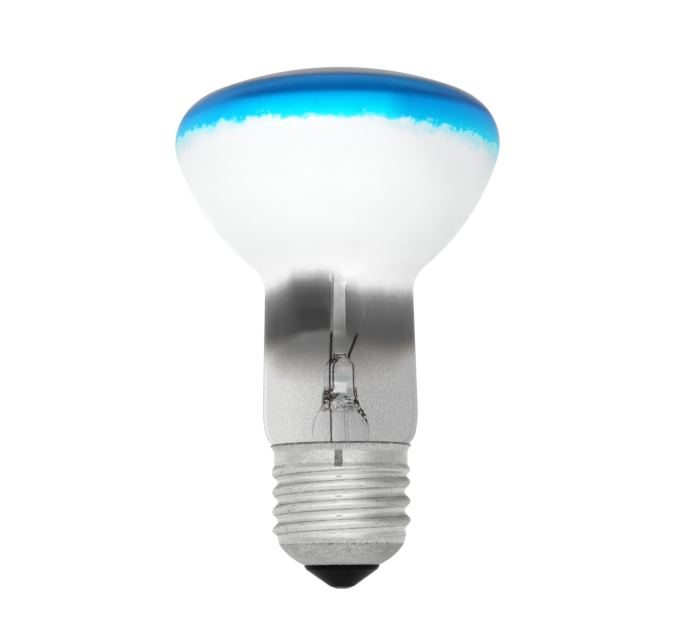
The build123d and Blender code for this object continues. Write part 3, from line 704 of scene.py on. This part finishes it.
def film_share(g):
    """Share of light the smoky film in the neck takes away, 0 to 1, and how far it is there at all."""
    az = g.azimuth()
    # lower edge: crisp at the front left, drawn out on the right and at the back
    low = g.curve(az, [(0.0, 46.3), (0.06, 45.4), (0.12, 44.5), (0.25, 43.8), (0.33, 43.3), (0.40, 43.3), (0.46, 44.8), (0.5, 45.8), (0.55, 46.0), (0.62, 46.5), (0.68, 47.8), (0.745, 48.0), (0.79, 45.8),
                       (0.87, 45.0), (0.93, 45.4), (1.0, 46.3)], 40.0, 50.0)
    soft = g.curve(az, [(0.0, 2.6), (0.12, 4.2), (0.25, 4.8), (0.33, 4.9), (0.42, 4.6), (0.5, 3.2), (0.58, 2.0), (0.62, 1.4), (0.67, 0.8), (0.745, 0.7), (0.79, 1.8),
                        (0.87, 2.4), (1.0, 2.6)], 0.0, 5.0)
    depth = g.curve(az, [(0.0, 0.52), (0.09, 0.57), (0.163, 0.6), (0.25, 0.7), (0.33, 0.75), (0.378, 0.76), (0.411, 0.7), (0.5, 0.6), (0.589, 0.62),
                         (0.62, 0.56), (0.645, 0.48), (0.745, 0.45), (0.84, 0.45), (0.91, 0.5), (1.0, 0.52)], 0.0, 1.0)
    wander = g.mul(g.sub(g.noise(0.5, 3.0, 0.6, offset=2.0), 0.5), 0.8)
    level = g.math("DIVIDE", g.sub(g.add(g.z, wander), low), soft)
    there = g.step(-1.0, 1.0, level)
    streak = g.noise(0.9, 4.0, 0.65, stretch=(1.0, 1.0, 0.1))
    cloud = g.noise(0.25, 3.0, 0.6, offset=9.0)
    depth = g.add(depth, g.mul(g.sub(cloud, 0.65), 0.08))
    depth = g.add(depth, g.mul(g.sub(streak, 0.5), 0.12))
    # a denser patch with a rounded corner
    ex = g.math("POWER", g.mul(g.math("MAXIMUM", g.add(g.x, 5.1), 0.0), 1 / 3.5), 2.2)
    ez = g.math("POWER", g.math("ABSOLUTE", g.mul(g.math("MAXIMUM", g.sub(g.z, 46.0), 0.0), 1 / 8.9)), 2.2)
    patch = g.mul(g.mul(g.step(1.22, 0.8, g.add(ex, ez)), g.step(-10.6, -6.0, g.x)), g.step(-3.0, -8.0, g.y))
    left = g.mul(g.sub(1.0, depth), g.sub(1.0, g.mul(patch, 0.4)))
    # fine grain of the film
    left = g.mul(left, g.add(0.62, g.mul(g.noise(3.6, 3.0, 0.8, offset=21.0), 0.76)))
    return g.mul(there, g.math("SUBTRACT", 1.0, left, clamp=True)), there


def neck_inside():
    g = Graph("neck_film")
    share, there = film_share(g)
    grain = g.noise(3.1, 4.0, 0.8, offset=6.0)
    # grainy haze of the glass, plus painted shade towards the right
    haze_and_shade = g.add(g.mul(shade_across(g), 0.185), g.add(0.045, g.mul(g.step(0.25, 0.75, grain), 0.19)))
    passed = g.math("MULTIPLY", g.sub(1.0, share), g.sub(1.0, haze_and_shade), clamp=True)
    half = g.mul(g.mul(there, g.sub(1.0, there)), 4.0)
    warm = g.mix(half, (1, 1, 1, 1), (1.0, 0.965, 0.925, 1.0))
    passed = g.new("VectorMath", operation="SCALE", Vector=warm, Scale=passed).outputs[0]
    dark = g.principled(Base_Color=lin(120, 119, 118), Roughness=0.25, Metallic=1.0)
    return g.done(g.mixed(0.002, g.clear(passed), dark))


def mirror_inside():
    g = Graph("mirror_film")
    cloud = g.noise(0.4, 4.0, 0.6)
    colour = g.mix(cloud, lin(228, 229, 230), lin(205, 207, 209))
    rough = g.add(0.14, g.mul(cloud, 0.16))
    bump = g.bump(g.noise(2.0, 3.0), 0.15, 0.02)
    return g.done(g.principled(Base_Color=colour, Metallic=1.0, Roughness=rough, Normal=bump))


for m in (head_material(), neck_outside(), mirror_inside(), neck_inside()):
    bulb.data.materials.append(m)


# ------------------------------------------------------------------------ stem glass
def stem_material():
    g = Graph("stem_glass")
    wave = g.noise(0.5, 2.0, 0.5, stretch=(1.0, 1.0, 0.35))
    bump = g.bump(wave, 0.25, 0.12)
    rod = g.step(45.6, 47.0, g.z)
    colour = g.mix(g.noise(0.8, 2.0), (1.0, 1.0, 1.0, 1.0), (0.98, 0.985, 0.988, 1.0))
    rough = g.add(0.02, g.mul(rod, 0.2))
    # painted light: the rod glows more and more towards the top
    rod_glow = g.curve(g.math("MULTIPLY_ADD", g.z, 0.1, -4.8, clamp=True), [(0.0, 0.0), (0.28, 0.2), (0.66, 0.4), (0.9, 0.5), (1.0, 0.5)], 0.0, 1.0, "LINEAR")
    rod_glow = g.mul(rod_glow, g.add(0.55, g.mul(g.noise(1.4, 4.0, 0.7, stretch=(1.0, 1.0, 0.25)), 0.95)))
    # on the press face: a frosted white pad that also glows, a painted highlight, between two faintly blue bands
    jitter = g.mul(g.sub(g.noise(1.1, 3.0, 0.65, offset=4.0), 0.5), 1.0)
    across = g.add(g.x, jitter)
    tall = g.add(g.z, jitter)
    face = g.step(0.0, -1.0, g.y)
    highlight_pad = g.mul(g.mul(g.step(-1.35, -1.0, across), g.step(1.45, 1.1, across)), g.mul(g.mul(g.step(36.9, 37.3, tall), g.step(39.4, 39.0, tall)), face))
    bands = g.math("MAXIMUM", g.mul(g.step(39.3, 39.6, tall), g.step(40.7, 40.2, tall)), g.mul(g.step(35.9, 36.2, tall), g.step(37.0, 36.8, tall)))
    bands = g.mul(g.mul(bands, face), g.step(2.6, 1.6, across))
    colour = g.mix(g.mul(bands, 0.8), colour, (0.55, 0.72, 0.8, 1.0))
    through = g.sub(1.0, g.mul(highlight_pad, 0.8))
    rough = g.add(rough, g.mul(highlight_pad, 0.3))
    return g.done(g.principled(Base_Color=colour, Roughness=rough, IOR=1.5, Transmission_Weight=through, Normal=bump,
                               Emission_Color=(1, 1, 1, 1), Emission_Strength=g.add(rod_glow, g.mul(highlight_pad, 0.45))))


stem.data.materials.append(stem_material())


# ------------------------------------------------------------------------ cap metals
def shell_material():
    g = Graph("shell_aluminium")
    az = g.azimuth()
    # place within one thread: 0 at a crest, 0.5 in a groove
    turn = g.add(g.mul(g.sub(g.z, Z_CREST_LEFT), 1 / PITCH), g.sub(0.5, az))
    phase = g.math("FRACT", g.add(turn, 20.0))
    away = g.math("ABSOLUTE", g.sub(phase, 0.5))          # 0.5 crest, 0 groove
    threaded = g.mul(g.step(9.3, 10.6, g.z), g.step(22.6, 21.8, g.z))
    flank_shade = g.mul(g.mul(g.step(0.2, 0.25, away), g.step(0.315, 0.265, away)), threaded)
    crest = g.mul(g.step(0.27, 0.36, away), threaded)
    groove = g.mul(g.step(0.2, 0.08, away), threaded)
    grain = g.noise(3.4, 4.0, 0.8)
    speck = g.noise(2.2, 3.0, 0.65, offset=4.0)
    round_ = g.noise(0.5, 4.0, 0.65, stretch=(1.0, 1.0, 6.0), offset=8.0)
    tone = g.mix(g.step(0.3, 0.7, grain), lin(252, 252, 250), lin(196, 197, 196))
    tone = g.mix(g.mul(crest, 0.1), tone, lin(206, 206, 204))
    smear = g.noise(0.35, 5.0, 0.7, stretch=(1.0, 1.0, 3.0), offset=27.0)
    plain = g.sub(1.0, threaded)
    tone = g.mix(g.mul(plain, g.add(0.15, g.mul(g.step(0.4, 0.65, smear), 0.45))), tone, lin(188, 188, 186))
    tone = g.mix(g.mul(g.mul(crest, g.step(0.56, 0.66, round_)), 0.65), tone, lin(120, 119, 117))
    tone = g.mix(g.mul(g.step(0.52, 0.7, g.noise(1.0, 4.0, 0.7, offset=23.0)), 0.3), tone, lin(196, 197, 197))
    # painted highlight up the front of the threads, and painted shade on the crests towards the right
    front_highlight = g.mul(g.step(9.0, 2.0, g.math("ABSOLUTE", g.add(g.x, 1.0))), g.step(0.0, -4.0, g.y))
    tone = g.mix(g.mul(g.mul(front_highlight, threaded), 0.6), tone, lin(255, 255, 253))
    tone = g.mix(g.mul(g.mul(crest, g.step(4.0, 10.0, g.x)), 0.4), tone, lin(140, 140, 138))
    # painted shade in the thread's flanks, patchy along the turns
    patchy_shade = g.step(0.3, 0.6, g.noise(0.7, 3.0, 0.6, offset=13.0))
    tone = g.mix(g.mul(flank_shade, g.add(0.34, g.mul(patchy_shade, 0.36))), tone, lin(116, 115, 113))
    # painted glints in the grooves in line with the weld, each with a small dark dash beside it
    glint_column = g.mul(g.step(0.75, 0.3, g.math("ABSOLUTE", g.add(g.x, 0.45))), g.step(0.0, -4.0, g.y))
    tone = g.mix(g.mul(g.mul(glint_column, groove), 0.85), tone, lin(254, 254, 254))
    glint_dash = g.mul(g.step(0.05, 0.02, g.math("ABSOLUTE", g.sub(phase, 0.44))), g.mul(glint_column, threaded))
    tone = g.mix(g.mul(glint_dash, 0.75), tone, lin(120, 120, 120))
    # darker lines along the crease above the foot and along the foot of the waist, dark crimp marks under the lip, and
    # a painted shadow round the brim where the glass meets it
    crease = g.mul(g.step(0.24, 0.08, g.math("ABSOLUTE", g.sub(g.z, 8.4))), g.step(0.44, 0.58, speck))
    waist = g.mul(g.step(0.18, 0.05, g.math("ABSOLUTE", g.sub(g.z, 23.3))), g.step(0.48, 0.6, speck))
    teeth = g.math("POWER", g.math("ABSOLUTE", g.math("SINE", g.mul(az, 2 * pi * 62))), 3.0)
    lip = g.mul(g.mul(g.step(25.6, 26.5, g.z), g.mul(teeth, 0.42)), g.step(0.25, 0.65, g.noise(0.9, 3.0, 0.6, offset=17.0)))
    brim_shadow = g.mul(g.step(26.78, 26.92, g.z), g.step(0.3, 0.5, g.noise(1.4, 3.0, 0.6, offset=19.0)))
    dark_lines_and_shadow = g.math("MAXIMUM", g.math("MAXIMUM", crease, g.mul(waist, 0.7)), g.math("MAXIMUM", lip, brim_shadow))
    tone = g.mix(g.mul(dark_lines_and_shadow, 0.75), tone, lin(88, 87, 85))
    tone = g.mix(g.mul(g.step(0.62, 0.74, speck), 0.3), tone, lin(165, 164, 162))
    # painted shade on the foot below the crease, stronger towards the right
    tone = g.mix(g.mul(g.step(8.5, 8.1, g.z), g.add(0.1, g.mul(g.step(2.0, 10.0, g.x), 0.5))), tone, lin(150, 150, 148))
    blotch = g.step(0.5, 0.68, g.noise(0.8, 5.0, 0.75, offset=37.0))
    foot_zone = g.step(8.6, 8.2, g.z)
    tone = g.mix(g.mul(blotch, g.mul(foot_zone, 0.3)), tone, lin(124, 124, 122))
    pits = g.noise(2.6, 4.0, 0.8, offset=41.0)
    tone = g.mix(g.mul(foot_zone, g.step(0.42, 0.7, pits, 0.0, 0.5)), tone, lin(118, 118, 116))
    tone = g.mix(g.mul(foot_zone, g.step(0.5, 0.28, pits, 0.0, 0.55)), tone, lin(222, 222, 220))
    rough = g.add(g.add(g.add(0.34, g.mul(foot_zone, 0.2)), g.mul(g.sub(grain, 0.5), 0.16)), g.mul(crest, 0.06))
    height = g.add(g.mul(grain, 0.5), g.mul(round_, 0.5))
    bump = g.bump(height, 0.3, 0.02)
    return g.done(g.principled(Base_Color=tone, Metallic=1.0, Roughness=rough, Normal=bump))


shell.data.materials.append(shell_material())


def black_glass_material():
    g = Graph("black_glass")
    cloud = g.noise(0.9, 3.0, 0.6)
    colour = g.mix(cloud, lin(7, 7, 8), lin(16, 16, 17))
    rough = g.add(0.16, g.mul(g.noise(3.0, 3.0, 0.6), 0.14))
    bump = g.bump(g.noise(1.4, 3.0, 0.6), 0.2, 0.04)
    return g.done(g.principled(Base_Color=colour, Roughness=rough, Specular_IOR_Level=0.03, Normal=bump))


insulator.data.materials.append(black_glass_material())


def metal_material(name, light, dark, rough, scale=3.0, bump=0.2, stretch=None):
    g = Graph(name)
    grain = g.noise(scale, 4.0, 0.65, stretch=stretch)
    colour = g.mix(g.step(0.3, 0.7, grain), light, dark)
    r = g.add(rough, g.mul(g.sub(grain, 0.5), 0.2))
    return g.done(g.principled(Base_Color=colour, Metallic=1.0, Roughness=r, Normal=g.bump(grain, bump, 0.02)))


contact.data.materials.append(metal_material("contact_metal", lin(112, 108, 100), lin(80, 76, 70), 0.45))
solder.data.materials.append(metal_material("solder", lin(150, 152, 154), lin(112, 114, 117), 0.4, 2.0, 0.3))
filament.data.materials.append(metal_material("tungsten", lin(110, 108, 108), lin(78, 77, 78), 0.35, 6.0))


def cement_material():
    g = Graph("cement")
    grain = g.noise(4.0, 5.0, 0.7)
    colour = g.mix(grain, lin(196, 186, 168), lin(150, 140, 122))
    return g.done(g.principled(Base_Color=colour, Roughness=0.85, Normal=g.bump(grain, 0.5, 0.08)))


def weld_material():
    g = Graph("weld")
    mottle = g.noise(2.2, 4.0, 0.7)
    colour = g.mix(g.step(0.35, 0.68, mottle), lin(96, 94, 95), lin(160, 158, 158))
    # the spot runs out into the bright sheet at its border
    side = g.sub(0.8, g.math("ABSOLUTE", g.add(g.x, 0.44)))
    inner = g.add(g.math("MINIMUM", side, g.mul(g.sub(25.85, g.z), 0.8)), g.mul(g.sub(g.noise(1.8, 3.0, 0.6, offset=3.0), 0.5), 0.5))
    colour = g.mix(g.step(-0.02, 0.16, inner), lin(205, 205, 203), colour)
    colour = g.mix(g.mul(g.step(24.0, 25.6, g.z), 0.2), colour, lin(190, 190, 189))
    rough = g.add(0.42, g.mul(mottle, 0.2))
    return g.done(g.principled(Base_Color=colour, Metallic=0.85, Roughness=rough, Normal=g.bump(mottle, 0.5, 0.06)))


def set_node_material(node, mat):
    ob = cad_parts[node]
    if ob.data.materials:
        for i in range(len(ob.data.materials)):
            ob.data.materials[i] = mat
    else:
        ob.data.materials.append(mat)


def lead_material():
    """Nickel leads, dark where the sealing flame reached them; further up painted near-white with little metal, a
    painted reflection.
    """
    g = Graph("nickel")
    grain = g.noise(4.0, 4.0, 0.65)
    burnt = g.mix(g.step(0.3, 0.7, grain), lin(92, 90, 88), lin(64, 62, 61))
    painted_pale = g.mix(g.step(0.3, 0.7, grain), lin(252, 251, 249), lin(236, 235, 233))
    bright = g.step(48.2, 49.5, g.add(g.z, g.mul(g.sub(g.noise(0.8), 0.5), 1.2)))
    colour = g.mix(bright, burnt, painted_pale)
    return g.done(g.principled(Base_Color=colour, Metallic=g.sub(1.0, g.mul(bright, 0.95)), Roughness=g.add(0.3, g.mul(grain, 0.2)), Normal=g.bump(grain, 0.2, 0.02)))


nickel = lead_material()


def seal_wire_material():
    """Copper-clad wire: red where the glass wets it, dark from the flame above."""
    g = Graph("copper_clad")
    grain = g.noise(4.0, 4.0, 0.65)
    red = g.mix(g.step(0.3, 0.7, grain), lin(140, 84, 72), lin(104, 60, 52))
    burnt = g.mix(g.step(0.3, 0.7, grain), lin(92, 90, 88), lin(64, 62, 61))
    colour = g.mix(g.step(38.9, 39.7, g.add(g.z, g.mul(g.sub(g.noise(0.8), 0.5), 0.8))), red, burnt)
    return g.done(g.principled(Base_Color=colour, Metallic=1.0, Roughness=g.add(0.3, g.mul(grain, 0.2)), Normal=g.bump(grain, 0.2, 0.02)))


dumet = seal_wire_material()
copper = metal_material("copper", lin(112, 98, 88), lin(82, 72, 66), 0.4, 4.0)
moly = metal_material("molybdenum", lin(120, 119, 118), lin(88, 87, 87), 0.35, 5.0)
for node in ("inner_lead_side", "inner_lead_centre"):
    set_node_material(node, nickel)
for node in ("seal_wire_side", "seal_wire_centre"):
    set_node_material(node, dumet)
for node in ("outer_lead_side", "outer_lead_centre"):
    set_node_material(node, copper)
for k in (1, 2, 3):
    set_node_material(f"support_wire_{k}", moly)
set_node_material("basing_cement", cement_material())
set_node_material("side_weld", weld_material())

# ============================================================ floor, light and camera
floor_mesh = bpy.data.meshes.new("floor")
floor_verts, floor_faces = turned([(0.0, -75.0)] + [(r, -75.0) for r in (60.0, 150.0, 300.0, 500.0, 800.0, 1200.0, 1700.0)], 64)
floor_mesh.from_pydata([(x * MM, y * MM, z * MM) for x, y, z in floor_verts], [], [f[::-1] for f in floor_faces])
floor = bpy.data.objects.new("floor", floor_mesh)
floor.visible_shadow = False
bpy.context.scene.collection.objects.link(floor)
g = Graph("floor")
away = g.math("SQRT", g.add(g.mul(g.x, g.x), g.mul(g.y, g.y)))
paper = g.principled(Base_Color=g.mix(g.noise(0.02, 4.0, 0.6), (0.92, 0.92, 0.92, 1.0), (0.88, 0.88, 0.88, 1.0)), Roughness=0.9, Specular_IOR_Level=0.0)
floor_mesh.materials.append(g.done(g.mixed(g.step(1650.0, 500.0, away), g.clear((1, 1, 1, 1)), paper)))

# a pale room: a bright belt at eye height, stronger on the left, greyer overhead and darkest high up behind
scene = bpy.context.scene
g = Graph("studio", world=True)
scene.world = g.mat
round_ = g.math("MULTIPLY_ADD", g.math("ARCTAN2", g.x, g.mul(g.y, -1.0)), 1 / (2 * pi), 0.5)
belt = g.curve(round_, [(0.0, 1.0), (0.12, 0.95), (0.25, 0.74), (0.33, 0.86), (0.40, 0.95), (0.44, 1.12), (0.5, 1.2), (0.56, 1.08), (0.61, 0.8), (0.68, 0.52),
                        (0.75, 0.46), (0.88, 0.72), (1.0, 1.0)], 0.0, 2.0)
up = g.math("MULTIPLY_ADD", g.z, 0.5, 0.5)
before = g.curve(up, [(0.0, 0.6), (0.25, 0.75), (0.42, 0.92), (0.5, 1.0), (0.6, 1.0), (0.75, 0.95), (0.92, 0.8), (1.0, 0.5)], 0.0, 2.0)
behind = g.curve(up, [(0.0, 0.5), (0.25, 0.6), (0.42, 1.0), (0.54, 1.0), (0.6, 0.7), (0.68, 0.44), (0.745, 0.36), (0.772, 0.26), (0.8, 0.2), (0.83, 0.15), (0.87, 0.1), (0.9, 0.08), (0.97, 0.3), (1.0, 0.5)], 0.0, 2.0)
away = g.math("MAXIMUM", g.math("SQRT", g.add(g.mul(g.x, g.x), g.mul(g.y, g.y))), 0.2)
front_part = g.step(0.85, 0.5, g.math("DIVIDE", g.y, away))
rise = g.add(g.mul(before, front_part), g.mul(behind, g.sub(1.0, front_part)))
path = g.new("LightPath")
seen = g.math("MAXIMUM", path.outputs["Is Camera Ray"], g.mul(path.outputs["Is Transmission Ray"], 0.92))
room = g.nt.nodes.new("ShaderNodeBackground")
g.put(room.inputs[0], g.mix(g.mul(g.step(0.05, 0.4, g.z), g.sub(1.0, front_part)), (1.0, 1.0, 1.0, 1.0), (1.0, 0.95, 0.9, 1.0)))
g.put(room.inputs[1], g.mul(belt, rise))
plain = g.nt.nodes.new("ShaderNodeBackground")
plain.inputs[0].default_value = (1.0, 1.0, 1.0, 1.0)
plain.inputs[1].default_value = 1.03
g.nt.links.new(g.mixed(seen, room.outputs[0], plain.outputs[0]), g.out.inputs["Surface"])


def fill_light(name, towards, level, angle=70.0):
    """A very soft light from one side that leaves no reflection."""
    data = bpy.data.lights.new(name, "SUN")
    data.energy = pi * level
    data.angle = radians(angle)
    ob = bpy.data.objects.new(name, data)
    ob.rotation_mode = "QUATERNION"
    ob.rotation_quaternion = Vector(towards).to_track_quat("-Z", "Y")
    ob.visible_glossy = False
    ob.visible_transmission = False
    ob.visible_camera = False
    scene.collection.objects.link(ob)
    return ob


fill_light("fill_top", (0.0, 0.6, -1.0), 0.23)
fill_light("fill_left", (1.0, 0.35, 0.3), 0.22)
fill_light("fill_low", (0.2, 0.5, 1.0), 0.35)
fill_light("fill_right", (-1.0, 0.35, 0.3), 0.19)
fill_light("fill_back", (0.0, -1.0, 0.1), 0.3)


cam_data = bpy.data.cameras.new("camera")
cam_data.sensor_width = 36.0
cam_data.sensor_fit = "HORIZONTAL"
cam_data.lens = 36.0 * 2090.0 / 680.0
cam_data.clip_start, cam_data.clip_end = 0.01, 60.0
cam = bpy.data.objects.new("camera", cam_data)
cam.rotation_mode = "QUATERNION"
cam.location = (0.00013, -0.4, 0.0045)
cam.rotation_quaternion = (
    Matrix.Rotation(radians(90 + 6.82), 3, "X") @ Matrix.Rotation(radians(-0.6), 3, "Z")
).to_quaternion()
scene.collection.objects.link(cam)
scene.camera = cam

scene.view_settings.view_transform = "Standard"
scene.view_settings.look = "None"
scene.cycles.transparent_max_bounces = 32
scene.cycles.transmission_bounces = 20
scene.cycles.max_bounces = 24
scene.cycles.glossy_bounces = 8
scene.cycles.diffuse_bounces = 6
